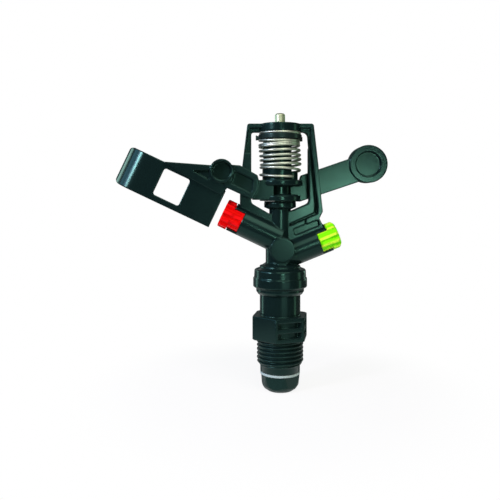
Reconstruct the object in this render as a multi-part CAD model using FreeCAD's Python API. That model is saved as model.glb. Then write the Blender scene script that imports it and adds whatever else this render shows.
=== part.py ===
import FreeCAD, Part
import math
import os

Vector = FreeCAD.Vector

# Impact sprinkler. Millimetres, +Z up, origin on the swivel axis at the shoulder of the inlet thread.
# +X is the side of the counterweight and the spreader nozzle, -X the side of the jet, -Y the front.

# Inlet bearing: a half-inch pipe thread, a ribbed hexagon and a plain sleeve for the bearing.
THREAD_R = 10.48
THREAD_ROOT_R = 9.32
THREAD_PITCH = 1.814
THREAD_FLAT = 0.3
THREAD_RIDGES = 6
THREAD_RUN_OUT = 0.3
LAST_RIDGE_Z = -9.62
NOSE_Z = -12.1
BEARING_END_R = 8.95
BEARING_END_Z = -14.8
HEX_FLATS = 23.0
HEX_HEIGHT = 10.5
HEX_TURN = -100.5
HEX_RIB = 1.8
HEX_CORE_R = 10.2
HEX_POST = 1.6
PLAIN_SIDE = 49.5
SLEEVE_R = 9.15
SLEEVE_TOP = 21.6

# Water way and the swivel stack on it.
TUBE_R = 6.0
TUBE_BORE_R = 4.5
TUBE_TOP = 31.9
RUNNING_GAP = 0.05
BUSH_R = 6.9
WASHER = 1.0
RUBBER = 1.5
RUBBER_R = 7.9
NUT_CORNERS = 18.1
NUT_HEIGHT = 7.5
NUT_TURN = -79.0
SPRING_STEP = 0.6
BEARING_SPRING_R = 7.5
BEARING_WIRE = 1.2
BEARING_TURNS = 4.0

# Dust cap and the spigot of the head that it is pressed on.
SPIGOT_R = 8.4
SPIGOT_Z = 29.2
SPIGOT_TOP = 32.7
CAP_R = 12.15
CAP_LIP_R = 10.8
CAP_WALL = 1.3
CAP_Z = 19.9

# Head: neck, stem, two barrels in the XZ plane and a round boss in front.
NECK_R = 6.5
STEM_R = 4.9
STEM_TOP = 58.9
SEAT_R = 7.2
SEAT_TOP = 61.2
BOSS_AT = (0.7, 40.2)
BOSS_R = 5.4
BOSS_FRONT = 8.0
MAIN_BARREL_R = 6.6
SPREADER_BARREL_R = 6.4
BARREL_BORE_R = 4.6
SOCKET_R = 5.0
SOCKET_START = 12.6
BARREL_END = 19.2
CLAW_BORE_R = 5.75
CLAW_END = 24.0
MAIN_RISE = 25.6
MAIN_ROOT = 44.25
SPREADER_RISE = 22.2
SPREADER_ROOT = 36.5
SPREADER_INSET = 0.5
MAIN_WINDOW = (-70.0, 40.0)
SPREADER_WINDOW = (-38.0, 62.0)

# Bridge that carries the pivot pin over the arm.
BRIDGE_HALF = 3.5
BRIDGE_TOP = 96.3
BRIDGE_UNDER = 92.7
BRIDGE_BOSS_R = 9.2
PANEL_HALF = 1.5
PIN_R = 2.3
PIN_FOOT = 52.0
PIN_TOP = 101.2

# Nozzles: a spigot with a ring seal, a gripped skirt inside the claws and a wider flange.
NOZZLE_SPIGOT_R = 4.9
NOZZLE_SKIRT_R = 5.65
MAIN_FLANGE_R = 6.6
SPREADER_FLANGE_R = 6.15
NOZZLE_START = 13.0
NOZZLE_LENGTH = 28.5
FLANGE_START = 24.4
GRIPS = 11
GRIP_R = 1.3
GRIP_DEPTH = 0.45
SEAL_AT = 15.6
SEAL_WIRE = 1.2
ORIFICE_R = 2.2

# Impact arm: hub, spring spool, front beam with a spoon in the jet, rear beam with a counterweight.
HUB_Z = 61.7
HUB_LOW_R = 9.2
HUB_WAIST_R = 4.9
HUB_HIGH_R = 10.2
HUB_TOP = 71.1
SPOOL_R = 8.0
SPOOL_TOP = 76.2
SPOOL_STEP = 74.6
CORE_R = 7.7
CORE_FLAT = 4.8
CORE_TOP = 80.4
ARM_GAP = 0.3
BEAM_FRONT = -9.2
PLATE_FRONT = -7.8
GUSSET_FRONT = -7.8
CUP_AT = (-26.0, 74.9)
CUP_R = 5.2
VANE_RISE = 25.4
VANE_CORNER = (-32.0, 50.1)
VANE_WIDTH = 17.8
VANE_STRAIGHT = 37.8
VANE_CURL_R = 9.6
VANE_END_R = 2.6
VANE_FRONT = -5.8
VANE_WALL = 1.8
VANE_BACK = 2.5
VANE_LIP = 1.5
VANE_HOLE = (16.1, 2.6, 12.8)
COUNTER_RISE = 18.2
COUNTER_WIDTH = 11.6
COUNTER_FOOT = (9.4, 61.6)
COUNTER_PLATE = 3.2
DISC_AT = (40.8, 78.7)
DISC_R = 8.7
DISC_DEPTH = 7.5
DISC_RIM = 2.9

# Arm spring between the spool and the cap that sets its tension.
SPRING_R = 8.9
SPRING_WIRE = 1.0
SPRING_TURNS = 8.0
CAP_RING_R = 9.3
CAP_RING_Z = 89.4
CAP_RING_TOP = 91.6
CAP_GROOVE_R = 8.3
CAP_LUG_R = 11.7
CAP_LUG_WIDTH = 3.0
CAP_LUG_HEIGHT = 1.4
CAP_LUGS = (180.0, 33.0)


def outline(corners):
    """Closed wire in the XZ plane. A corner is (x, z) or (x, z, rounding radius)."""
    count = len(corners)
    points = [Vector(c[0], 0, c[1]) for c in corners]
    spans = []
    for i, corner in enumerate(corners):
        here = points[i]
        if len(corner) == 2:
            spans.append((here, None, here))
            continue
        back = (points[i - 1] - here).normalize()
        ahead = (points[(i + 1) % count] - here).normalize()
        half = back.getAngle(ahead) / 2
        run = corner[2] / math.tan(half)
        depth = corner[2] / math.sin(half) - corner[2]
        crest = here + (back + ahead).normalize() * depth
        spans.append((here + back * run, crest, here + ahead * run))
    edges = []
    for i, (start, crest, end) in enumerate(spans):
        if crest is not None:
            edges.append(Part.Arc(start, crest, end).toShape())
        following = spans[(i + 1) % count][0]
        if end.distanceToPoint(following) > 1e-6:
            edges.append(Part.LineSegment(end, following).toShape())
    return Part.Wire(edges)


def slab(corners, front, back):
    """Outline in the XZ plane made into a plate from y = front to y = back."""
    face = Part.Face(outline(corners))
    face.translate(Vector(0, front, 0))
    return face.extrude(Vector(0, back - front, 0))


def turned(corners):
    """Half section of (radius, z) corners turned about the Z axis."""
    return Part.Face(outline(corners)).revolve(Vector(), Vector(0, 0, 1), 360)


def rod(radius, low, high):
    return Part.makeCylinder(radius, high - low, Vector(0, 0, low))


def ring(outer, inner, low, high):
    return rod(outer, low, high).cut(rod(inner, low, high))


def pin_across(radius, at, front, back):
    """Cylinder along Y through the point at = (x, z)."""
    return Part.makeCylinder(radius, back - front, Vector(at[0], front, at[1]), Vector(0, 1, 0))


def hexagon(corners, low, high, turn=0.0):
    radius = corners / 2
    angles = [math.radians(turn + 60 * i) for i in range(6)]
    points = [Vector(radius * math.cos(a), radius * math.sin(a), low) for a in angles]
    return Part.Face(Part.makePolygon(points + points[:1])).extrude(Vector(0, 0, high - low))


def coil(radius, wire, low, high, turns):
    """Round wire wound about the Z axis between the two wire centre heights."""
    helix = Part.makeHelix((high - low) / turns, high - low, radius)
    section = Part.Wire(Part.makeCircle(wire / 2, Vector(radius, 0, 0), Vector(0, 1, 0)))
    solid = Part.Wire(helix).makePipeShell([section], True, True)
    solid.translate(Vector(0, 0, low))
    return solid


def fused(shapes):
    return shapes[0].multiFuse(shapes[1:]).removeSplitter()


def on_main_axis(shape):
    """Lay a shape made up the Z axis along the main barrel, its +X side upward."""
    shape = shape.copy()
    shape.rotate(Vector(), Vector(0, 1, 0), MAIN_RISE - 90)
    shape.translate(Vector(0, 0, MAIN_ROOT))
    return shape


def on_spreader_axis(shape):
    """Lay a shape made up the Z axis along the spreader barrel, its +X side upward."""
    shape = shape.copy()
    shape.translate(Vector(0, 0, -SPREADER_INSET))
    shape.rotate(Vector(), Vector(0, 0, 1), 180)
    shape.rotate(Vector(), Vector(0, 1, 0), 90 - SPREADER_RISE)
    shape.translate(Vector(0, 0, SPREADER_ROOT))
    return shape


# --- Inlet and swivel ---------------------------------------------------------------------------

def hex_pockets():
    """Two bands of pockets in four sides, which leave three ribs and a post at each corner; the two
    opposite sides at the parting of the mould stay plain."""
    across = HEX_FLATS / math.cos(math.radians(30))
    side = across / 2
    pitch = (HEX_HEIGHT - HEX_RIB) / 2
    plain = Part.makeBox(2 * across, side, HEX_HEIGHT, Vector(-across, -side / 2, 0))
    plain.rotate(Vector(), Vector(0, 0, 1), PLAIN_SIDE)
    posts = [plain]
    for i in range(6):
        post = Part.makeBox(across, HEX_POST, HEX_HEIGHT, Vector(0, -HEX_POST / 2, 0))
        post.rotate(Vector(), Vector(0, 0, 1), HEX_TURN + 60 * i)
        posts.append(post)
    keep = rod(HEX_CORE_R, 0, HEX_HEIGHT).multiFuse(posts)
    bands = []
    for i in range(2):
        low = HEX_RIB + pitch * i
        bands.append(hexagon(across + 2, low, low + pitch - HEX_RIB, HEX_TURN).cut(keep))
    return bands


def thread_ridges():
    """Corners of the pipe thread's outline from the bottom up. Each turn is a plain ring here, and
    the top one runs out under the hexagon, which the mating thread's mouth seats against."""
    slope = (THREAD_PITCH - THREAD_FLAT) / 2
    corners = []
    for i in range(THREAD_RIDGES):
        crest = LAST_RIDGE_Z + THREAD_PITCH * i
        corners.append((THREAD_ROOT_R, crest - slope))
        corners.append((THREAD_R, crest - THREAD_FLAT / 2))
        corners.append((THREAD_R, crest + THREAD_FLAT / 2))
        corners.append((THREAD_ROOT_R, crest + slope))
    return corners[:-2] + [(THREAD_R, THREAD_RUN_OUT), (THREAD_ROOT_R, THREAD_RUN_OUT)]


def inlet_bearing():
    body = turned([
        (0, BEARING_END_Z), (BEARING_END_R, BEARING_END_Z, 0.4), (BEARING_END_R, NOSE_Z),
        (THREAD_ROOT_R, NOSE_Z + 0.4),
    ] + thread_ridges() + [
        (THREAD_ROOT_R, HEX_RIB), (SLEEVE_R, HEX_HEIGHT), (SLEEVE_R, SLEEVE_TOP), (0, SLEEVE_TOP),
    ])
    across = HEX_FLATS / math.cos(math.radians(30))
    nut = hexagon(across, 0, HEX_HEIGHT, HEX_TURN)
    chamfer = across / 2 - 0.5
    nut = nut.common(turned([
        (0, 0), (chamfer, 0), (chamfer + 1, 0.7), (chamfer + 1, HEX_HEIGHT - 0.7),
        (chamfer, HEX_HEIGHT), (0, HEX_HEIGHT),
    ]))
    nut = nut.cut(hex_pockets()[0]).cut(hex_pockets()[1])
    solid = fused([body, nut])
    solid = solid.cut(rod(BUSH_R, BEARING_END_Z - 1, SLEEVE_TOP + 1))
    return solid.cut(rod(RUBBER_R + RUNNING_GAP, BEARING_END_Z - 1, BEARING_END_Z + RUBBER))


def bearing_bush():
    return ring(BUSH_R, TUBE_R + RUNNING_GAP, BEARING_END_Z + RUBBER, SLEEVE_TOP)


def rubber_washer():
    return ring(RUBBER_R, TUBE_R + RUNNING_GAP, BEARING_END_Z, BEARING_END_Z + RUBBER)


def ptfe_washer():
    return ring(BEARING_END_R, TUBE_R + RUNNING_GAP, BEARING_END_Z - WASHER, BEARING_END_Z)


def retaining_nut():
    """Hexagon nut with a domed end, screwed on the tube, which ends on its inner lip."""
    top = BEARING_END_Z - WASHER
    low = top - NUT_HEIGHT
    dome = turned([
        (0, low), (5.7, low, 0.5), (7.3, low + 1.1), (8.3, low + 2.6, 1.5),
        (NUT_CORNERS / 2, top), (0, top),
    ])
    solid = hexagon(NUT_CORNERS, low, top, NUT_TURN).common(dome)
    solid = solid.cut(rod(TUBE_R, low + HEX_RIB, top))
    return solid.cut(rod(TUBE_BORE_R, low - 1, top))


def spindle_tube():
    low = BEARING_END_Z - WASHER - NUT_HEIGHT + HEX_RIB
    return ring(TUBE_R, TUBE_BORE_R, low, TUBE_TOP)


def spindle_seal():
    return ring(TUBE_R, TUBE_BORE_R, TUBE_TOP, SPIGOT_TOP)


def spring_washer():
    return ring(SLEEVE_R, TUBE_R + RUNNING_GAP, SLEEVE_TOP, SLEEVE_TOP + SPRING_STEP)


def bearing_spring():
    low = SLEEVE_TOP + SPRING_STEP + BEARING_WIRE / 2
    return coil(BEARING_SPRING_R, BEARING_WIRE, low, SPIGOT_Z - BEARING_WIRE / 2, BEARING_TURNS)


def dust_cap():
    """Cover over the bearing spring: a lip, a wide band and a rounded shoulder with two steps."""
    lip_bore = SLEEVE_R + 0.35
    return turned([
        (lip_bore, CAP_Z), (9.9, CAP_Z, 0.2), (CAP_LIP_R, 21.2, 0.4), (CAP_LIP_R, 22.5), (CAP_R, 23.3, 0.6),
        (CAP_R, 27.1, 0.4), (11.75, 27.4), (11.6, 30.9, 1.0), (9.7, 31.6), (9.2, 31.9),
        (9.2, SPIGOT_TOP - 0.1, 0.3), (SPIGOT_R, SPIGOT_TOP), (SPIGOT_R, SPIGOT_Z + 0.4),
        (10.2, 29.2, 0.6), (CAP_R - CAP_WALL, 27.2, 0.6), (CAP_R - CAP_WALL, 23.5, 0.6), (lip_bore, 22.4),
    ])


# --- Head ---------------------------------------------------------------------------------------

def claws(radius, window):
    """Sleeve past the barrel's rim, open over one arc in front and the same arc behind."""
    sleeve = ring(radius, CLAW_BORE_R, BARREL_END - 0.6, CLAW_END)
    middle = sum(window) / 2
    for side in (0, 180):
        rays = []
        for angle in (window[0], middle, window[1]):
            up = math.radians(angle)
            rays.append(Vector(math.sin(up), -math.cos(up), 0) * (2 * radius))
        wedge = Part.Face(Part.makePolygon([Vector()] + rays + [Vector()]))
        wedge = wedge.extrude(Vector(0, 0, CLAW_END))
        wedge.translate(Vector(0, 0, BARREL_END))
        wedge.rotate(Vector(), Vector(0, 0, 1), side)
        sleeve = sleeve.cut(wedge)
    return sleeve


def barrel(radius, window):
    return fused([rod(radius, 0, BARREL_END), claws(radius, window)])


def barrel_bore(start):
    """Water way, the wider socket for the nozzle and its seal, and the room inside the claws."""
    way = rod(BARREL_BORE_R, start, BARREL_END).fuse(rod(SOCKET_R, SOCKET_START, BARREL_END))
    return way.fuse(rod(CLAW_BORE_R, BARREL_END, CLAW_END + 5))


def round_boss():
    """Flat-faced round pad on the front of the body, drawn to a point underneath."""
    x, z = BOSS_AT
    pad = pin_across(BOSS_R, BOSS_AT, -BOSS_FRONT, 0)
    side = BOSS_R * math.cos(math.radians(35))
    drop = BOSS_R * math.sin(math.radians(35))
    point = [(x - side, z - drop), (x + side, z - drop), (x, z - BOSS_R / math.sin(math.radians(35)))]
    return fused([pad, slab(point, -BOSS_FRONT + 0.8, 0)])


def bridge():
    """Arched frame over the arm: a plate with a window, edged by ribs round sunken panels."""
    plate = slab([
        (-14.8, BRIDGE_TOP, 1.2), (14.85, BRIDGE_TOP, 1.2), (16.95, 77.8), (18.0, 65.5),
        (18.95, 57.0, 1.5), (17.4, 53.9, 0.4), (19.2, 50.5), (15.7, 43.0), (0, 36.5), (-15.4, 52.0),
        (-18.1, 60.5), (-18.1, 64.2), (-17.1, 77.0),
    ], -BRIDGE_HALF, BRIDGE_HALF)
    window = slab([
        (-13.0, BRIDGE_UNDER, 1.0), (12.2, BRIDGE_UNDER, 2.4), (12.75, 86.0), (12.75, 74.0),
        (13.1, 60.8, 2.2), (4.8, 57.2), (-4.8, 55.95), (-13.0, 60.7, 2.2),
    ], -BRIDGE_HALF - 1, BRIDGE_HALF + 1)
    return plate.cut(window)


def bridge_panels():
    """Sunken panels that leave the bridge its outer rib, the same on both faces: one down the left
    leg, one that narrows to a groove down the right leg, a slot and a notch in the rib under it."""
    left = [
        (-8.0, 91.0), (-8.0, 94.4), (-14.2, 94.4, 0.6), (-15.7, 83.1), (-12.0, 83.1), (-12.0, 91.0),
    ]
    groove = [
        (8.0, 91.0), (8.0, 94.4), (13.6, 94.4, 0.6), (13.75, 88.0), (14.15, 82.2), (14.8, 77.8),
        (15.7, 68.9), (16.8, 60.5), (16.9, 56.1, 1.6), (4.0, 50.4), (4.0, 51.5), (15.0, 56.4, 0.8),
        (15.2, 59.9), (14.5, 68.9), (13.5, 77.8), (13.3, 82.2), (13.1, 85.4), (12.0, 85.4), (11.0, 91.0),
    ]
    slot = [(5.8, 49.3, 0.6), (16.9, 53.3, 0.5), (17.6, 50.7, 0.3), (6.5, 46.2, 0.8)]
    notch = [(10.9, 50.4), (10.9, 53.7), (11.5, 53.9), (11.5, 50.6)]
    cuts = []
    for corners in (left, groove, slot, notch):
        cuts.append(slab(corners, -BRIDGE_HALF - 1, -PANEL_HALF))
        cuts.append(slab(corners, PANEL_HALF, BRIDGE_HALF + 1))
    return cuts


def head_body():
    spigot = turned([
        (0, SPIGOT_Z), (SPIGOT_R, SPIGOT_Z), (SPIGOT_R, SPIGOT_TOP), (NECK_R, SPIGOT_TOP + 1.3),
        (NECK_R, MAIN_ROOT), (0, MAIN_ROOT),
    ])
    stem = rod(STEM_R, SPREADER_ROOT, STEM_TOP)
    seat = turned([
        (0, STEM_TOP - 1), (STEM_R, STEM_TOP - 1), (SEAT_R, STEM_TOP), (SEAT_R, SEAT_TOP, 0.4),
        (0, SEAT_TOP),
    ])
    frame = bridge()
    for cut in bridge_panels():
        frame = frame.cut(cut)
    top_boss = rod(BRIDGE_BOSS_R, BRIDGE_UNDER, BRIDGE_TOP)
    main = on_main_axis(barrel(MAIN_BARREL_R, MAIN_WINDOW))
    spreader = on_spreader_axis(barrel(SPREADER_BARREL_R, SPREADER_WINDOW))
    solid = fused([frame, spigot, stem, seat, top_boss, main, spreader, round_boss()])
    solid = solid.cut(on_main_axis(barrel_bore(0)))
    solid = solid.cut(on_spreader_axis(barrel_bore(0)))
    solid = solid.cut(rod(TUBE_BORE_R, SPIGOT_Z - 1, MAIN_ROOT))
    solid = solid.cut(rod(TUBE_R, SPIGOT_Z - 1, SPIGOT_TOP))
    return solid.cut(rod(PIN_R, PIN_FOOT, BRIDGE_TOP + 1))


def stream_straightener():
    """Short tube with crossed vanes that calms the water before the main nozzle."""
    start = SOCKET_START - 5.5
    tube = ring(BARREL_BORE_R, BARREL_BORE_R - 0.7, start, SOCKET_START)
    vanes = [tube]
    for i in range(3):
        vane = Part.makeBox(2 * BARREL_BORE_R - 1, 0.6, 5.5, Vector(0.5 - BARREL_BORE_R, -0.3, start))
        vane.rotate(Vector(), Vector(0, 0, 1), 60 * i)
        vanes.append(vane)
    return on_main_axis(fused(vanes))


def nozzle(flange_r, front):
    """Body common to both nozzles, up the Z axis, before its orifice is cut."""
    seal_low = SEAL_AT - SEAL_WIRE / 2
    seal_high = SEAL_AT + SEAL_WIRE / 2
    groove_r = NOZZLE_SPIGOT_R - SEAL_WIRE * 0.8
    solid = turned([
        (0, NOZZLE_START), (NOZZLE_SPIGOT_R, NOZZLE_START, 0.3), (NOZZLE_SPIGOT_R, seal_low),
        (groove_r, seal_low), (groove_r, seal_high), (NOZZLE_SPIGOT_R, seal_high),
        (NOZZLE_SPIGOT_R, BARREL_END + 0.1), (NOZZLE_SKIRT_R, BARREL_END + 0.1),
        (NOZZLE_SKIRT_R, FLANGE_START), (flange_r, FLANGE_START),
    ] + front)
    grooves = []
    for i in range(GRIPS):
        for radius, low in ((NOZZLE_SKIRT_R, BARREL_END + 1), (flange_r, FLANGE_START)):
            away = Vector(radius + GRIP_R - GRIP_DEPTH, 0, low)
            groove = Part.makeCylinder(GRIP_R, NOZZLE_LENGTH - low + 1, away)
            groove.rotate(Vector(), Vector(0, 0, 1), 360 / GRIPS * i)
            grooves.append(groove)
    return solid.cut(grooves)


def main_nozzle():
    throat = turned([
        (0, NOZZLE_START - 1), (3.6, NOZZLE_START - 1), (3.6, SEAL_AT), (ORIFICE_R, 24.5),
        (ORIFICE_R, NOZZLE_LENGTH - 1.2), (ORIFICE_R + 1.2, NOZZLE_LENGTH), (ORIFICE_R + 1.2, 30), (0, 30),
    ])
    face = [(MAIN_FLANGE_R, NOZZLE_LENGTH, 0.6), (0, NOZZLE_LENGTH)]
    return on_main_axis(nozzle(MAIN_FLANGE_R, face).cut(throat))


def spreader_nozzle():
    """Domed nozzle with a flat slot that fans the water out."""
    face = [(SPREADER_FLANGE_R, 27.3, 0.6), (4.7, NOZZLE_LENGTH, 1.2), (0, NOZZLE_LENGTH)]
    chamber = rod(3.0, NOZZLE_START - 1, 25.4)
    slot = Part.makeBox(1.4, 2 * 4.0, 6, Vector(-0.7, -4.0, 24.0))
    return on_spreader_axis(nozzle(SPREADER_FLANGE_R, face).cut(chamber).cut(slot))


def nozzle_seal():
    """Ring seal that fills the spigot's groove and clears the socket by a running gap."""
    inner = NOZZLE_SPIGOT_R - SEAL_WIRE * 0.8
    low = SEAL_AT - SEAL_WIRE / 2
    high = SEAL_AT + SEAL_WIRE / 2
    return turned([
        (inner, low), (SOCKET_R - RUNNING_GAP, low, 0.4), (SOCKET_R - RUNNING_GAP, high, 0.4),
        (inner, high),
    ])


def pivot_pin():
    return turned([
        (0, PIN_FOOT), (PIN_R, PIN_FOOT), (PIN_R, PIN_TOP - 0.6), (PIN_R - 0.6, PIN_TOP), (0, PIN_TOP),
    ])


# --- Impact arm ---------------------------------------------------------------------------------

def arm_washer():
    return ring(SEAT_R - 0.1, PIN_R, SEAT_TOP, HUB_Z - 0.1)


def arm_bush():
    return ring(3.4, PIN_R + RUNNING_GAP, HUB_Z, CORE_TOP)


def flat_side(low, high):
    """Block that cuts the flat of the D-shaped cores between two heights."""
    return Part.makeBox(10, 40, high - low + 1, Vector(CORE_FLAT, -20, low))


def arm_hub():
    """Flanged hub, the spool that the spring's last coil grips and the D-shaped core inside it."""
    hub = turned([
        (0, HUB_Z), (HUB_LOW_R, HUB_Z, 0.4), (HUB_LOW_R, 64.1, 0.4), (HUB_WAIST_R, 64.6),
        (HUB_WAIST_R, 68.3), (HUB_HIGH_R, 68.8, 0.4), (HUB_HIGH_R, HUB_TOP, 0.5),
        (SPOOL_R, HUB_TOP), (SPOOL_R, SPOOL_TOP, 0.3), (CORE_R, SPOOL_TOP), (CORE_R, CORE_TOP, 0.4),
        (0, CORE_TOP),
    ])
    return hub.cut(flat_side(SPOOL_STEP, CORE_TOP))


def arm_beam():
    """Beam in front of the bridge, with a sunken pocket, the round cup, the gusset that carries the
    spoon and the thinner plate that joins the hub."""
    back = -BRIDGE_HALF - ARM_GAP
    beam = slab([
        (-25.0, 77.8), (-17.9, 77.3, 2.0), (-10.3, 73.0, 1.0), (-9.7, 70.9), (-10.6, 66.0, 1.5),
        (-12.6, 62.3, 1.0), (-25.0, 68.0, 1.0),
    ], BEAM_FRONT, back)
    plate = slab([
        (-12.0, 71.0), (-3.2, 70.9), (-3.2, 62.2), (-12.6, 62.2),
    ], PLATE_FRONT, back)
    pocket = slab([
        (-20.0, 75.0, 0.8), (-12.1, 71.0, 0.8), (-12.9, 65.0, 0.8), (-21.8, 69.4, 0.8),
    ], BEAM_FRONT - 1, BEAM_FRONT + 3.4)
    gusset = slab([
        (-51.8, 79.05), (-30.9, 77.5, 2.0), (-24.0, 76.0), (-23.6, 67.6), (-26.4, 64.6), (-39.9, 71.8),
    ], GUSSET_FRONT, back)
    hollow = slab([
        (-38.9, 75.2, 0.3), (-31.6, 75.4, 0.3), (-31.6, 71.0, 0.3),
    ], GUSSET_FRONT - 1, GUSSET_FRONT + 1.8)
    cup = pin_across(CUP_R, CUP_AT, BEAM_FRONT - 1.2, back)
    hole = pin_across(CUP_R - 1.0, CUP_AT, BEAM_FRONT - 2, BEAM_FRONT + 2.6)
    return fused([beam, plate, gusset, cup]).cut(pocket).cut(hollow).cut(hole)


def spoon():
    """Vane beside the jet: a flat wall that curls across the jet at its far end, between two lips."""
    front = VANE_FRONT
    centre_y = front + VANE_CURL_R
    inner_r = VANE_CURL_R - VANE_WALL
    far = VANE_STRAIGHT
    slant = math.sqrt(0.5)

    def curve(radius):
        start = Vector(far, centre_y - radius, 0)
        crest = Vector(far + radius * slant, centre_y - radius * slant, 0)
        end = Vector(far + radius, centre_y, 0)
        return Part.Arc(start, crest, end).toShape()

    outer = curve(VANE_CURL_R)
    inner = curve(inner_r)
    wall = Part.Wire([
        Part.LineSegment(Vector(0, front, 0), Vector(far, front, 0)).toShape(), outer,
        Part.LineSegment(outer.Vertexes[1].Point, inner.Vertexes[1].Point).toShape(), inner,
        Part.LineSegment(inner.Vertexes[0].Point, Vector(0, front + VANE_WALL, 0)).toShape(),
        Part.LineSegment(Vector(0, front + VANE_WALL, 0), Vector(0, front, 0)).toShape(),
    ])
    wall = Part.Face(wall).extrude(Vector(0, 0, VANE_WIDTH))
    reach = far + VANE_CURL_R
    wall = wall.common(slab([
        (0, 0), (reach, 0, VANE_END_R), (reach, VANE_WIDTH, VANE_END_R), (0, VANE_WIDTH),
    ], front - 1, centre_y + 1))
    edge = math.sqrt(inner_r ** 2 - (VANE_BACK - centre_y) ** 2)
    lip = Part.Wire([
        Part.LineSegment(Vector(3, front + 0.5, 0), Vector(far, front + 0.5, 0)).toShape(),
        Part.LineSegment(Vector(far, front + 0.5, 0), Vector(far + edge + 0.8, VANE_BACK, 0)).toShape(),
        Part.LineSegment(Vector(far + edge + 0.8, VANE_BACK, 0), Vector(9, VANE_BACK, 0)).toShape(),
        Part.LineSegment(Vector(9, VANE_BACK, 0), Vector(3, front + 0.5, 0)).toShape(),
    ])
    solids = [wall]
    for low in (0, VANE_WIDTH - VANE_LIP):
        plate = Part.Face(lip).extrude(Vector(0, 0, VANE_LIP))
        plate.translate(Vector(0, 0, low))
        solids.append(plate)
    along, up, size = VANE_HOLE
    hole = slab([
        (along, up, 1.2), (along + size, up, 1.2), (along + size, up + size, 1.2),
        (along, up + size, 1.2),
    ], front - 1, front + VANE_WALL + 1)
    solid = fused(solids).cut(hole)
    solid = solid.mirror(Vector(), Vector(1, 0, 0))
    solid.rotate(Vector(), Vector(0, 1, 0), VANE_RISE)
    solid.translate(Vector(VANE_CORNER[0], 0, VANE_CORNER[1]))
    return solid


def counterweight():
    """Flat beam behind the bridge, from the hub's flanges to a dished disc at its end."""
    front = BRIDGE_HALF + ARM_GAP
    slope = math.tan(math.radians(COUNTER_RISE))
    rise = COUNTER_WIDTH / math.cos(math.radians(COUNTER_RISE))
    x, z = COUNTER_FOOT
    far = DISC_AT[0] - 2
    beam = slab([
        (x, z), (far, z + (far - x) * slope), (far, z + (far - x) * slope + rise), (x + 0.4, z + rise, 1.0),
        (x - 0.5, HUB_TOP - 0.2), (2, HUB_TOP - 0.2), (2, z),
    ], front, front + COUNTER_PLATE)
    disc = pin_across(DISC_R, DISC_AT, front - 0.8, front - 0.8 + DISC_DEPTH)
    dish = pin_across(DISC_R - DISC_RIM, DISC_AT, front - 2, front + 1.4)
    return fused([beam, disc]).cut(dish)


def impact_arm():
    solid = fused([arm_hub(), arm_beam(), spoon(), counterweight()])
    return solid.cut(rod(3.4, HUB_Z - 1, CORE_TOP + 1))


def arm_spring():
    half = SPRING_WIRE / 2
    return coil(SPRING_R, SPRING_WIRE, HUB_TOP + half, CAP_RING_Z - half, SPRING_TURNS)


def spring_cap():
    """Grooved ring under the bridge with two lugs to turn it by, on a D-shaped core in the spring."""
    top = BRIDGE_UNDER - 0.1
    low = CORE_TOP + 0.6
    body = turned([
        (0, low), (CORE_R, low, 0.4), (CORE_R, CAP_RING_Z), (CAP_RING_R, CAP_RING_Z, 0.3),
        (CAP_RING_R, CAP_RING_TOP, 0.3), (CAP_GROOVE_R, CAP_RING_TOP), (CAP_GROOVE_R, top), (0, top),
    ])
    body = body.cut(flat_side(low, CAP_RING_Z - 1))
    lugs = []
    for angle in CAP_LUGS:
        lug = Part.makeBox(
            CAP_LUG_R, CAP_LUG_WIDTH, CAP_LUG_HEIGHT, Vector(0, -CAP_LUG_WIDTH / 2, CAP_RING_Z)
        )
        lug.rotate(Vector(), Vector(0, 0, 1), angle)
        lugs.append(lug)
    return fused([body] + lugs).cut(rod(PIN_R + RUNNING_GAP, CORE_TOP, top + 1))


SUB_PARTS = {
    "inlet_bearing": inlet_bearing,
    "bearing_bush": bearing_bush,
    "rubber_washer": rubber_washer,
    "ptfe_washer": ptfe_washer,
    "retaining_nut": retaining_nut,
    "spindle_tube": spindle_tube,
    "spindle_seal": spindle_seal,
    "spring_washer": spring_washer,
    "bearing_spring": bearing_spring,
    "dust_cap": dust_cap,
    "head_body": head_body,
    "stream_straightener": stream_straightener,
    "main_nozzle": main_nozzle,
    "main_nozzle_seal": lambda: on_main_axis(nozzle_seal()),
    "spreader_nozzle": spreader_nozzle,
    "spreader_nozzle_seal": lambda: on_spreader_axis(nozzle_seal()),
    "pivot_pin": pivot_pin,
    "arm_washer": arm_washer,
    "arm_bush": arm_bush,
    "impact_arm": impact_arm,
    "arm_spring": arm_spring,
    "spring_cap": spring_cap,
}

os.makedirs("parts", exist_ok=True)
for name, make in SUB_PARTS.items():
    make().exportStep(f"parts/{name}.step")
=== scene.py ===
import math

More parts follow.
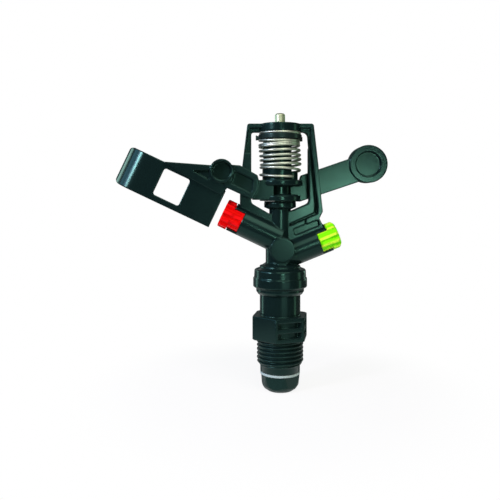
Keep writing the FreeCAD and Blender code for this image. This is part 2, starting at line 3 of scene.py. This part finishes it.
import bmesh
import bpy
import numpy as np
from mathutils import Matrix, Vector


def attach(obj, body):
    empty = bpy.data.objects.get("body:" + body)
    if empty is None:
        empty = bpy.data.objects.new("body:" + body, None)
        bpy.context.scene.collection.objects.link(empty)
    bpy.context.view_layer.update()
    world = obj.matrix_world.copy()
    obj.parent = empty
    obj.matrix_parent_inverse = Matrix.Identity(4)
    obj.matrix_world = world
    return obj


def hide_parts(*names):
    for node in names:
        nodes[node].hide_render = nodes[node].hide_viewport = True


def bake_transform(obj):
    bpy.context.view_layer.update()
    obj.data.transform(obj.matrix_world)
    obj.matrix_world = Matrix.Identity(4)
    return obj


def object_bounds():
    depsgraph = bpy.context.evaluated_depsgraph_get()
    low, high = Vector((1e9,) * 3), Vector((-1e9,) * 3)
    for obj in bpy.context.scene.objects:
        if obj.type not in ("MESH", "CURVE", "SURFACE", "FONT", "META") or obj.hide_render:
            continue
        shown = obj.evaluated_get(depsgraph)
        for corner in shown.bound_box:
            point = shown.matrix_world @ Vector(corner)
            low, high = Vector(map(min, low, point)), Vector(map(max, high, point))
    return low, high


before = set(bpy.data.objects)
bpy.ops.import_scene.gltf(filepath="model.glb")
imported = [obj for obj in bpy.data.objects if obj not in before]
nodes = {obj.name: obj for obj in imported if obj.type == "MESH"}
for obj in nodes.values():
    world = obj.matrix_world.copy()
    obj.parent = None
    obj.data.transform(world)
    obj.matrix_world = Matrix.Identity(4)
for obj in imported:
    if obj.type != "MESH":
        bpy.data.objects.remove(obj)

cad_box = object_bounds()

# --- Camera ---------------------------------------------------------------------------------------
# The head is seen square on from a little left of the swivel axis, level with the arm's hub.
camera = bpy.data.objects.new("camera", bpy.data.cameras.new("camera"))
bpy.context.scene.collection.objects.link(camera)
camera.location = (-0.0136, -0.2535, 0.0626)
camera.rotation_euler = (math.radians(90), 0, 0)
camera.data.lens = 40.32
camera.data.sensor_width = 36
camera.data.shift_y = -0.102
camera.data.clip_start = 0.01
bpy.context.scene.camera = camera
bpy.context.scene.view_settings.view_transform = "Standard"


# --- Table, backdrop and light --------------------------------------------------------------------
# The nut stands on a round white table in front of a white backdrop. Near the object the table is
# part painted, so that it keeps a shadow, and it fades into the backdrop towards its rim.
TABLE_R = 0.13
TABLE_SIDES = 96
PAINTED_SHARE = 0.12
PAINTED_R = 0.05
ROOM_GLOW = 0.09
AIM = (0, 0, 0.06)


def add_node(tree, kind, inputs=None, **settings):
    """Node of a material or of the world. Its settings come first, then its inputs, by name or by
    number: each is a value, or another node's output that is linked to it."""
    made = tree.nodes.new("ShaderNode" + kind)
    for name, value in settings.items():
        setattr(made, name, value)
    for name, value in (inputs or {}).items():
        if isinstance(value, bpy.types.NodeSocket):
            tree.links.new(value, made.inputs[name])
        else:
            made.inputs[name].default_value = value
    return made


def calculate(tree, operation, *values):
    """Result of a math node."""
    return add_node(tree, "Math", dict(enumerate(values)), operation=operation).outputs[0]


def fade(tree, value, low, high, at_low=0.0, at_high=1.0):
    """Smooth step from one level to the other while the value runs from low to high."""
    steps = {"Value": value, "From Min": low, "From Max": high, "To Min": at_low, "To Max": at_high}
    return add_node(tree, "MapRange", steps, interpolation_type="SMOOTHSTEP").outputs["Result"]


def round_table(height):
    """Flat disc: its rim is the radius times the cosine and sine of the turn. Eye, gloss and glass
    see it as plain white, less the painted share, which runs out smoothly towards the rim."""
    turn = np.linspace(0, 2 * np.pi, TABLE_SIDES, endpoint=False)
    level = np.full(TABLE_SIDES, height)
    rim = np.stack([TABLE_R * np.cos(turn), TABLE_R * np.sin(turn), level], axis=-1)
    mesh = bpy.data.meshes.new("table")
    mesh.from_pydata(rim.tolist(), [], [tuple(range(TABLE_SIDES))])
    material = bpy.data.materials.new("white_table")
    material.use_nodes = True
    tree = material.node_tree
    tree.nodes.clear()
    out = add_node(tree, "OutputMaterial")
    where = add_node(tree, "TexCoord").outputs["Object"]
    away = add_node(tree, "VectorMath", {0: where}, operation="LENGTH").outputs["Value"]
    plain = fade(tree, away, PAINTED_R, TABLE_R * 0.8, 1 - PAINTED_SHARE, 1)
    ray = add_node(tree, "LightPath").outputs
    seen = calculate(tree, "MAXIMUM", ray["Is Camera Ray"], ray["Is Glossy Ray"])
    seen = calculate(tree, "MAXIMUM", seen, ray["Is Transmission Ray"])
    share = calculate(tree, "MULTIPLY", seen, plain)
    paint = add_node(tree, "BsdfDiffuse", {"Color": (0.9, 0.9, 0.9, 1)})
    glow = add_node(tree, "Emission", {"Strength": 1.0})
    mix = add_node(tree, "MixShader", {"Fac": share, 1: paint.outputs[0], 2: glow.outputs[0]})
    tree.links.new(mix.outputs[0], out.inputs["Surface"])
    mesh.materials.append(material)
    table = bpy.data.objects.new("table", mesh)
    bpy.context.scene.collection.objects.link(table)


round_table(cad_box[0][2])

# The world gives the dim light of a room. The eye sees it as plain white, and gloss and glass see
# it white straight behind the object.
world = bpy.data.worlds.new("studio")
bpy.context.scene.world = world
world.use_nodes = True
sky = world.node_tree
direction = add_node(sky, "TexCoord").outputs["Generated"]
depth = add_node(sky, "SeparateXYZ", {0: direction}).outputs["Y"]
behind = fade(sky, depth, 0.85, 0.97, ROOM_GLOW, 1.0)
ray = add_node(sky, "LightPath").outputs
mirrored = calculate(sky, "MAXIMUM", ray["Is Glossy Ray"], ray["Is Transmission Ray"])
mirrored = calculate(sky, "MULTIPLY", mirrored, behind)
shown = calculate(sky, "MAXIMUM", mirrored, ray["Is Camera Ray"])
strength = calculate(sky, "MAXIMUM", shown, ROOM_GLOW)
backdrop = sky.nodes["Background"]
sky.links.new(strength, backdrop.inputs["Strength"])
backdrop.inputs["Color"].default_value = (1, 1, 1, 1)


def softbox(name, bearing, rise, distance, size, glare, colour=(1, 1, 1)):
    """Area light at a bearing from the front (right positive) and a rise above the head, both in
    degrees, aimed at the head; glare is how bright its sheet looks, where white paper is 1."""
    lamp = bpy.data.lights.new(name, "AREA")
    lamp.shape = "RECTANGLE"
    lamp.size, lamp.size_y = size
    lamp.energy = glare * math.pi * size[0] * size[1]
    lamp.color = colour
    box = bpy.data.objects.new(name, lamp)
    bpy.context.scene.collection.objects.link(box)
    turn, lift = math.radians(bearing), math.radians(rise)
    target = Vector(AIM)
    level = math.cos(lift)
    away = Vector((math.sin(turn) * level, -math.cos(turn) * level, math.sin(lift)))
    box.location = target + away * distance
    box.rotation_euler = (target - box.location).to_track_quat("-Z", "Y").to_euler()


softbox("key_low", 7.5, -1.3, 0.9, (0.10, 0.054), 30.0, (0.92, 1.0, 0.90))
softbox("key_high", 13.2, 0.5, 0.9, (0.09, 0.070), 31.0, (0.92, 1.0, 0.90))
softbox("overhead", 15, 46, 1.0, (0.9, 0.6), 4.3, (1.0, 0.93, 0.84))
softbox("top_card", 2.5, 8.8, 0.9, (0.10, 0.035), 7.5, (0.75, 1.0, 0.95))
softbox("left_sky", -82, 24, 0.9, (0.45, 0.36), 3.0, (0.35, 0.65, 1.0))
softbox("left_strip", -51.5, 20, 0.8, (0.14, 0.15), 75.0, (0.85, 0.8, 1.0))
softbox("left_blue", -61, 20, 0.8, (0.09, 0.15), 16.0, (0.6, 0.5, 1.0))
softbox("left_high", -126, 14, 0.7, (0.30, 0.20), 3.0, (0.6, 1.0, 0.9))
softbox("low_card", 22, -11, 0.5, (0.26, 0.10), 1.3)
softbox("left_wall", -120, -8, 0.7, (0.12, 0.26), 3.0, (0.6, 1.0, 0.9))
softbox("right_wall", 90, -6, 0.7, (0.14, 0.5), 2.0, (0.6, 1.0, 0.7))
softbox("right_back", 134, -1, 0.7, (0.16, 0.16), 3.4, (0.6, 1.0, 0.8))


# --- Inlet bearing --------------------------------------------------------------------------------
# Dark green moulded plastic: a male pipe thread under a ribbed hexagon, and a plain sleeve above it.
# The hexagon and the sleeve are the solid's own; the thread's turns are cut here.
GREEN = (0.0044, 0.0118, 0.0112)
GREEN_DEEP = (0.0030, 0.0088, 0.0085)
GREEN_SHEEN = (0.40, 1.0, 0.80)
FINE_GRAIN = 0.000006

THREAD_R = 0.01048
THREAD_DEPTH = 0.00116
THREAD_PITCH = 0.001814
THREAD_LOW = -0.0101
THREAD_TOP = -0.0003
THREAD_SIDES = 128
THREAD_RINGS = 112
CREST_Z = 0.00045
ROOT_FLAT = 0.14
FLANK = 0.68
LEAD_R = 0.00895
LEAD_LOW = -0.0121
END_LOW = -0.0148
END_CHAMFER = 0.0003
SEAT_R = 0.00795
SEAT_TOP = -0.0133
BORE_R = 0.0069


def moulded_plastic(
    name, colour, deep, sheen, roughness, grain=0.00002, gloss=0.25, round_off=0.0004,
):
    """Semi-gloss moulded plastic: two close tones in soft clouds, a fine grain, softened edges, and a
    gloss that is tinted towards the plastic's own colour and turns satin where it is seen edge on."""
    material = bpy.data.materials.new(name)
    material.use_nodes = True
    tree = material.node_tree
    where = add_node(tree, "TexCoord").outputs["Object"]
    cloud = add_node(tree, "TexNoise", {"Scale": 60, "Detail": 3, "Vector": where}).outputs["Fac"]
    tones = {"A": (*deep, 1), "B": (*colour, 1), "Factor": cloud}
    tone = add_node(tree, "Mix", tones, data_type="RGBA")
    worn = {"To Min": roughness - 0.05, "To Max": roughness + 0.07, "Value": cloud}
    rough = add_node(tree, "MapRange", worn)
    slant = add_node(tree, "LayerWeight", {"Blend": 0.5}).outputs["Facing"]
    edge_on = fade(tree, slant, 0.66, 0.9)
    satin = add_node(tree, "Mix", {"A": rough.outputs["Result"], "B": 0.9, "Factor": edge_on})
    speckle = add_node(tree, "TexNoise", {"Scale": 2500, "Vector": where}).outputs["Fac"]
    bevel = add_node(tree, "Bevel", {"Radius": round_off}, samples=8).outputs["Normal"]
    relief = {"Strength": 0.4, "Distance": grain, "Height": speckle, "Normal": bevel}
    bump = add_node(tree, "Bump", relief)
    shader = tree.nodes["Principled BSDF"]
    tree.links.new(tone.outputs["Result"], shader.inputs["Base Color"])
    tree.links.new(satin.outputs["Result"], shader.inputs["Roughness"])
    tree.links.new(bump.outputs["Normal"], shader.inputs["Normal"])
    shader.inputs["Specular IOR Level"].default_value = gloss
    shader.inputs["Specular Tint"].default_value = (*sheen, 1)
    return material


def show(name, mesh, material):
    """Piece at the origin that shows a mesh in one finish."""
    mesh.materials.clear()
    mesh.materials.append(material)
    piece = bpy.data.objects.new(name, mesh)
    bpy.context.scene.collection.objects.link(piece)
    return piece


def new_piece(name, corners, faces, material):
    """Smooth piece from an array of corners and a list of faces."""
    mesh = bpy.data.meshes.new(name)
    mesh.from_pydata(corners.tolist(), [], faces)
    mesh.polygons.foreach_set("use_smooth", np.full(len(mesh.polygons), True))
    mesh.update()
    return show(name, mesh, material)


def ring_faces(around, along, closed_along=False):
    """Quads of a grid of rings: 'along' rings of 'around' corners each, every ring closed on itself."""
    i = np.arange(along if closed_along else along - 1)[:, None]
    j = np.arange(around)[None, :]
    here, ahead = i * around, ((i + 1) % along) * around
    turn = (j + 1) % around
    return np.stack([here + j, here + turn, ahead + turn, ahead + j], axis=-1).reshape(-1, 4)


dark_green = moulded_plastic(
    "dark_green_plastic", GREEN, GREEN_DEEP, GREEN_SHEEN, 0.19, grain=FINE_GRAIN, round_off=0.0008)
thread_green = moulded_plastic(
    "thread_plastic", GREEN, GREEN_DEEP, GREEN_SHEEN, 0.34, grain=FINE_GRAIN)


def inlet_thread():
    """A ring profile turned about the axis. On its outer side the radius is the root plus the depth
    times a rounded saw of (height / pitch - turn), cut off by the lead-in cone at the bottom."""
    turn = np.linspace(0, 2 * np.pi, THREAD_SIDES, endpoint=False)[None, :]
    cut = np.linspace(THREAD_TOP, LEAD_LOW, THREAD_RINGS)[:, None]
    phase = (cut - CREST_Z) / THREAD_PITCH - turn / (2 * np.pi)
    saw = 1 - np.abs(2 * (phase % 1) - 1)
    tooth = np.clip((saw - ROOT_FLAT) / FLANK, 0, 1)
    tooth = tooth * tooth * (3 - 2 * tooth) * 0.5 + tooth * 0.5
    cone = LEAD_R + (THREAD_R - LEAD_R) * (cut - LEAD_LOW) / (THREAD_LOW - LEAD_LOW)
    outer = np.minimum(THREAD_R - THREAD_DEPTH * (1 - tooth), cone)
    rest = np.array([
        (LEAD_R, END_LOW + END_CHAMFER), (LEAD_R - END_CHAMFER, END_LOW), (SEAT_R, END_LOW),
        (SEAT_R, SEAT_TOP), (BORE_R, SEAT_TOP), (BORE_R, THREAD_TOP),
    ])
    radius = np.vstack([outer, np.repeat(rest[:, :1], THREAD_SIDES, axis=1)])
    height = np.repeat(np.vstack([cut, rest[:, 1:]]), THREAD_SIDES, axis=1)
    corners = np.stack([radius * np.cos(turn), radius * np.sin(turn), height], axis=-1)
    faces = ring_faces(THREAD_SIDES, len(radius), closed_along=True)[:, ::-1]
    return new_piece("inlet_thread", corners.reshape(-1, 3), faces.tolist(), thread_green)


def inlet_upper():
    """The solid's own hexagon and sleeve: its mesh, merged, cut level just under the hexagon and
    closed there with a flat ring."""
    mesh = nodes["inlet_bearing"].data.copy()
    work = bmesh.new()
    work.from_mesh(mesh)
    bmesh.ops.remove_doubles(work, verts=work.verts, dist=1e-6)
    cut = bmesh.ops.bisect_plane(
        work, geom=work.verts[:] + work.edges[:] + work.faces[:], plane_co=(0, 0, THREAD_TOP),
        plane_no=(0, 0, 1), clear_inner=True)
    rim = [e for e in cut["geom_cut"] if isinstance(e, bmesh.types.BMEdge)]
    bmesh.ops.triangle_fill(work, use_beauty=True, use_dissolve=False, edges=rim, normal=(0, 0, -1))
    work.to_mesh(mesh)
    work.free()
    return show("inlet_hexagon", mesh, dark_green)


for piece in (inlet_thread(), inlet_upper()):
    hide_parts("inlet_bearing")
    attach(piece, "inlet")


# --- Retaining nut and dust cap -------------------------------------------------------------------
# Both moulded in the inlet's dark green plastic. The nut is screwed to the foot of the tube, and the
# cap sits over the bearing spring.
def dress(node, material):
    """Gives a solid of the frame its finish."""
    mesh = nodes[node].data
    mesh.materials.clear()
    mesh.materials.append(material)


for name in ("retaining_nut", "dust_cap"):
    dress(name, dark_green)


# --- Washers, bushes, tube and seals --------------------------------------------------------------
# The sliding washer between inlet and nut is a white fluoroplastic ring. The bushes, the tube and
# the stream straightener are ivory plastic, and the seals are black rubber rings in their seats.
white = moulded_plastic("white_plastic", (0.33, 0.42, 0.40), (0.29, 0.38, 0.36), (1, 1, 1), 0.4)
dress("ptfe_washer", white)

ivory = moulded_plastic("ivory_plastic", (0.72, 0.69, 0.60), (0.66, 0.63, 0.55), (1, 1, 1), 0.4)
for name in ("bearing_bush", "spindle_tube", "stream_straightener", "arm_bush"):
    dress(name, ivory)

rubber = moulded_plastic("seal_rubber", (0.02, 0.02, 0.02), (0.012, 0.012, 0.012), (1, 1, 1), 0.6)
for name in ("rubber_washer", "spindle_seal", "main_nozzle_seal", "spreader_nozzle_seal"):
    dress(name, rubber)


# --- Bearing spring and its washer ----------------------------------------------------------------
# Steel coil under the dust cap, on a steel washer. Its foot stands on the inlet and its top under the
# washers; the coil keeps one fixed length.
def metal(name, colour, roughness):
    """Bare metal with the plastics' soft clouds and fine grain."""
    deep = tuple(share * 0.92 for share in colour)
    material = moulded_plastic(name, colour, deep, (1, 1, 1), roughness, grain=0.00001, gloss=0.5)
    material.node_tree.nodes["Principled BSDF"].inputs["Metallic"].default_value = 1.0
    return material


def merged(node):
    """Copy of a solid's mesh with its faces joined along their edges, and the directions by which
    its face corners were shaded before that."""
    mesh = nodes[node].data.copy()
    facing = np.empty(3 * len(mesh.loops))
    mesh.corner_normals.foreach_get("vector", facing)
    work = bmesh.new()
    work.from_mesh(mesh)
    bmesh.ops.remove_doubles(work, verts=work.verts, dist=1e-6)
    work.to_mesh(mesh)
    work.free()
    return mesh, facing.reshape(-1, 3)


steel = metal("spring_steel", (0.50, 0.56, 0.45), 0.42)
dress("spring_washer", steel)

mesh, facing = merged("bearing_spring")
mesh.normals_split_custom_set(facing.tolist())
piece = show("bearing_coil", mesh, steel)
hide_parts("bearing_spring")
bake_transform(piece)


# --- Head -----------------------------------------------------------------------------------------
# Dark green moulded plastic: neck, stem, two barrels and the bridge over the arm. The solid's own
# mesh; the floor of the groove down the bridge's right leg slopes, so that it lies in shade.
GROOVE_OUTER = (
    (0.01375, 0.0880), (0.01415, 0.0822), (0.0148, 0.0778), (0.0157, 0.0689), (0.0168, 0.0605),
    (0.0169, 0.0561),
)
GROOVE_FALL = 0.0006
ON_EDGE = 0.0005
PANEL_HALF = 0.0015
ON_PANEL = 0.00005
FACES_FRONT = 0.99


def places(mesh):
    """Where the corners of a mesh are."""
    at = np.empty(3 * len(mesh.vertices))
    mesh.vertices.foreach_get("co", at)
    return at.reshape(-1, 3)


def head():
    """The corners of the groove's floor that lie on its outer edge, on both faces of the bridge,
    are moved towards the middle plane; the floor then faces as its own triangles do."""
    mesh, facing = merged("head_body")
    at = places(mesh)
    edge = np.array(GROOVE_OUTER)
    span = edge[1:] - edge[:-1]
    away = at[:, None, [0, 2]] - edge[None, :-1]
    share = np.clip((away * span).sum(axis=-1) / (span * span).sum(axis=-1), 0, 1)
    gap = np.linalg.norm(away - share[:, :, None] * span, axis=-1).min(axis=1)
    deep = (np.abs(np.abs(at[:, 1]) - PANEL_HALF) < ON_PANEL) & (gap < ON_EDGE)
    at[:, 1] -= np.sign(at[:, 1]) * GROOVE_FALL * deep
    mesh.vertices.foreach_set("co", at.reshape(-1))
    mesh.update()
    corners = np.empty(len(mesh.loops), dtype=np.int32)
    mesh.loops.foreach_get("vertex_index", corners)
    flat = np.empty(3 * len(mesh.polygons))
    mesh.polygons.foreach_get("normal", flat)
    moved = np.repeat(deep[corners.reshape(-1, 3)].any(axis=1), 3)
    sloped = moved & (np.abs(facing[:, 1]) > FACES_FRONT)
    facing[sloped] = np.repeat(flat.reshape(-1, 3), 3, axis=0)[sloped]
    mesh.normals_split_custom_set(facing.tolist())
    return show("moulded_head", mesh, dark_green)


piece = head()
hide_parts("head_body")
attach(piece, "head")


# --- Nozzles --------------------------------------------------------------------------------------
# Bright moulded plastic, red in the main barrel and yellow-green in the spreader's. Each is held by
# its barrel's claws until it is turned. The ribs between their grip grooves carry a painted highlight,
# a paler colour.
RIBS = 11


def painted_rib_highlights(material, root, rise, side, colour):
    """Paints a highlight on the ribs round a nozzle: mixes in the colour by the cosine of their number
    times the angle about the nozzle's axis. The axis leaves the swivel axis at the root's height, to
    the side."""
    tree = material.node_tree
    lean = math.radians(rise)
    square = (-side * math.sin(lean), 0, math.cos(lean))
    where = add_node(tree, "TexCoord").outputs["Object"]
    offset = add_node(tree, "VectorMath", {0: where, 1: (0, 0, root)}, operation="SUBTRACT")
    upward = add_node(
        tree, "VectorMath", {0: offset.outputs[0], 1: square}, operation="DOT_PRODUCT")
    depth = add_node(tree, "SeparateXYZ", {0: where}).outputs["Y"]
    turn = calculate(tree, "ARCTAN2", depth, upward.outputs["Value"])
    wave = calculate(tree, "COSINE", calculate(tree, "MULTIPLY", turn, RIBS))
    crest = fade(tree, wave, 0.1, -0.9)
    base = tree.nodes["Principled BSDF"].inputs["Base Color"]
    tints = {"A": base.links[0].from_socket, "B": (*colour, 1), "Factor": crest}
    tint = add_node(tree, "Mix", tints, data_type="RGBA")
    tree.links.new(tint.outputs["Result"], base)


red = moulded_plastic(
    "red_plastic", (0.68, 0.0015, 0.001), (0.62, 0.001, 0.0008), (1.0, 0.10, 0.08), 0.35,
    gloss=0.3, round_off=0.0002)
# painted highlight: a brighter red on the rib crests
painted_rib_highlights(red, 0.04425, 25.6, -1, (0.84, 0.004, 0.006))
dress("main_nozzle", red)

lime = moulded_plastic(
    "lime_plastic", (0.20, 0.88, 0.002), (0.16, 0.84, 0.0015), (0.7, 1.0, 0.1), 0.35,
    gloss=0.3, round_off=0.0002)
# painted highlight: a paler yellow-green on the rib crests
painted_rib_highlights(lime, 0.0365, 22.2, 1, (0.60, 0.93, 0.045))
dress("spreader_nozzle", lime)


# --- Impact arm and its washer --------------------------------------------------------------------
# Dark green moulded plastic in one piece: spoon with its curled vane, hub and counterweight. The
# solid's own mesh, its vane's end drawn a little further and its counterweight's strap sagging a
# little. Its hub turns on a black plastic washer.
VANE_ROOT = (-0.032, 0.0501)
VANE_RISE = 25.4
VANE_REACH = 0.0474
VANE_WIDTH = 0.0178
CORNER_R = 0.0026
END_BULGE = 0.0008
END_SPAN = 0.005
WEIGHT_SAG = 0.0010
STRAP_ROOT = (0.007, 0.015)
STRAP_END = (0.026, 0.034)


def ramp(value, low, high):
    """Smooth step from 0 at low to 1 at high."""
    share = np.clip((value - low) / (high - low), 0, 1)
    return share * share * (3 - 2 * share)


def swinging_arm():
    """The counterweight's strap sags by a smooth ramp in x at each end; the vane's end is pushed out
    along the vane, by a share that follows a quarter circle at its corners."""
    mesh, facing = merged("impact_arm")
    at = places(mesh)
    lean = math.radians(VANE_RISE)
    x, z = at[:, 0] - VANE_ROOT[0], at[:, 2] - VANE_ROOT[1]
    along = z * math.sin(lean) - x * math.cos(lean)
    across = x * math.sin(lean) + z * math.cos(lean)
    inset = np.clip(np.minimum(across, VANE_WIDTH - across), 0, CORNER_R) / CORNER_R
    push = END_BULGE * ramp(along, VANE_REACH - END_SPAN, VANE_REACH)
    push *= np.sqrt(1 - (1 - inset) ** 2)
    at[:, 0] -= push * math.cos(lean)
    sag = ramp(at[:, 0], *STRAP_ROOT) * (1 - ramp(at[:, 0], *STRAP_END))
    at[:, 2] += push * math.sin(lean) - WEIGHT_SAG * sag
    mesh.vertices.foreach_set("co", at.reshape(-1))
    mesh.update()
    mesh.normals_split_custom_set(facing.tolist())
    return show("swinging_arm", mesh, dark_green)


piece = swinging_arm()
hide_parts("impact_arm")
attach(piece, "arm")

black = moulded_plastic(
    "black_plastic", (0.0105, 0.0185, 0.0165), (0.0075, 0.014, 0.0125), (0.5, 1.0, 0.9), 0.22)
dress("arm_washer", black)


# --- Spring cap -----------------------------------------------------------------------------------
# Black moulded plastic. The ring that carries the spring's top coil stands a little proud, and the
# two lugs it is turned by are stout and short.
RING_R = 0.0093
RING_FROM_R = 0.0089
RING_FROM_Z = 0.0892
RING_SWELL = 0.0005
LUG_R = 0.0117
LUG_FROM_R = 0.0098
LUG_MID_Z = 0.0901
LUG_DRAW = 0.0007
LUG_RAISE = 0.0005
LUG_DROP = 0.0002


def spring_cap():
    """The ring's radius grows by the swell. The left lug is drawn in towards the axis, and both lugs
    are thickened upwards and downwards."""
    mesh, facing = merged("spring_cap")
    at = places(mesh)
    radius = np.hypot(at[:, 0], at[:, 1])
    lug = radius > LUG_FROM_R
    ring = (radius > RING_FROM_R) & ~lug & (at[:, 2] > RING_FROM_Z)
    left = lug & (at[:, 0] < 0)
    share = 1 + ring * RING_SWELL / RING_R - left * LUG_DRAW / LUG_R
    at[:, :2] *= share[:, None]
    at[:, 2] += lug * np.where(at[:, 2] > LUG_MID_Z, LUG_RAISE, -LUG_DROP)
    mesh.vertices.foreach_set("co", at.reshape(-1))
    mesh.update()
    mesh.normals_split_custom_set(facing.tolist())
    return show("grooved_cap", mesh, black)


piece = spring_cap()
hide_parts("spring_cap")
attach(piece, "cap")


# --- Arm spring -----------------------------------------------------------------------------------
# Bright steel wire wound left-handed. Its top coil lies in the cap's groove, the free coils hang
# loose round the core, and the last one runs down to the arm's spool.
WIRE_R = 0.00056
WIRE_SIDES = 12
COIL_R = 0.0089
COIL_FRONTS = (
    0.0922, 0.08845, 0.08727, 0.0866, 0.08438, 0.08214, 0.08028, 0.07827, 0.0765, 0.0725,
)
SPRING_TURNS = 10.1
STEPS_A_TURN = 120
SOFT_STEPS = 21
EXIT_SWELL = 0.0011
EXIT_TURN = 1.5
EXIT_SPAN = 0.16
SPRING_LEAN = 0.08
SPRING_MID_Z = 0.0822
FREE_FROM_TURN = 1.0
FREE_SPAN = 1.5
FREE_TO_TURN = 9.0


def arm_spring():
    """A circle carried along a helix. The helix's height runs smoothly through the heights at which
    each coil passes the front, its radius swells where the wire leaves the cap's groove, and its free
    coils lean: they shift sideways with height and tip by the same angle."""
    step = np.linspace(0, SPRING_TURNS, round(SPRING_TURNS * STEPS_A_TURN))
    level = np.interp(step, np.arange(len(COIL_FRONTS) + 1), COIL_FRONTS[:1] + COIL_FRONTS)
    kernel = np.hanning(2 * SOFT_STEPS + 1)
    padded = np.pad(level, SOFT_STEPS, mode="edge")
    level = np.convolve(padded, kernel / kernel.sum(), mode="valid")
    radius = COIL_R + EXIT_SWELL * np.exp(-((step - EXIT_TURN) / EXIT_SPAN) ** 2)
    angle = -np.pi / 2 + 2 * np.pi * step
    free = np.clip((step - FREE_FROM_TURN) / FREE_SPAN, 0, 1) * np.clip(FREE_TO_TURN - step, 0, 1)
    lean = SPRING_LEAN * free
    across = radius * np.cos(angle)
    path = np.stack([
        across + lean * (SPRING_MID_Z - level), radius * np.sin(angle), level + lean * across,
    ], axis=-1)
    ahead = np.gradient(path, axis=0)
    ahead /= np.linalg.norm(ahead, axis=1, keepdims=True)
    out = np.stack([np.cos(angle), np.sin(angle), np.zeros_like(angle)], axis=-1)
    side = np.cross(ahead, out)
    side /= np.linalg.norm(side, axis=1, keepdims=True)
    out = np.cross(side, ahead)
    spin = np.linspace(0, 2 * np.pi, WIRE_SIDES, endpoint=False)[None, :, None]
    ring = out[:, None] * np.cos(spin) + side[:, None] * np.sin(spin)
    corners = (path[:, None] + WIRE_R * ring).reshape(-1, 3)
    last = len(corners) - WIRE_SIDES
    caps = [tuple(range(WIRE_SIDES))[::-1], tuple(range(last, last + WIRE_SIDES))]
    faces = ring_faces(WIRE_SIDES, len(step)).tolist() + caps
    return new_piece("wound_spring", corners, faces, steel)


spring = arm_spring()
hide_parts("arm_spring")
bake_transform(spring)


# --- Pivot pin ------------------------------------------------------------------------------------
# Pale brass, fixed in the bridge and run through the cap and the arm's hub. Only its top end is
# seen.
dress("pivot_pin", metal("pale_brass", (0.50, 0.57, 0.38), 0.5))
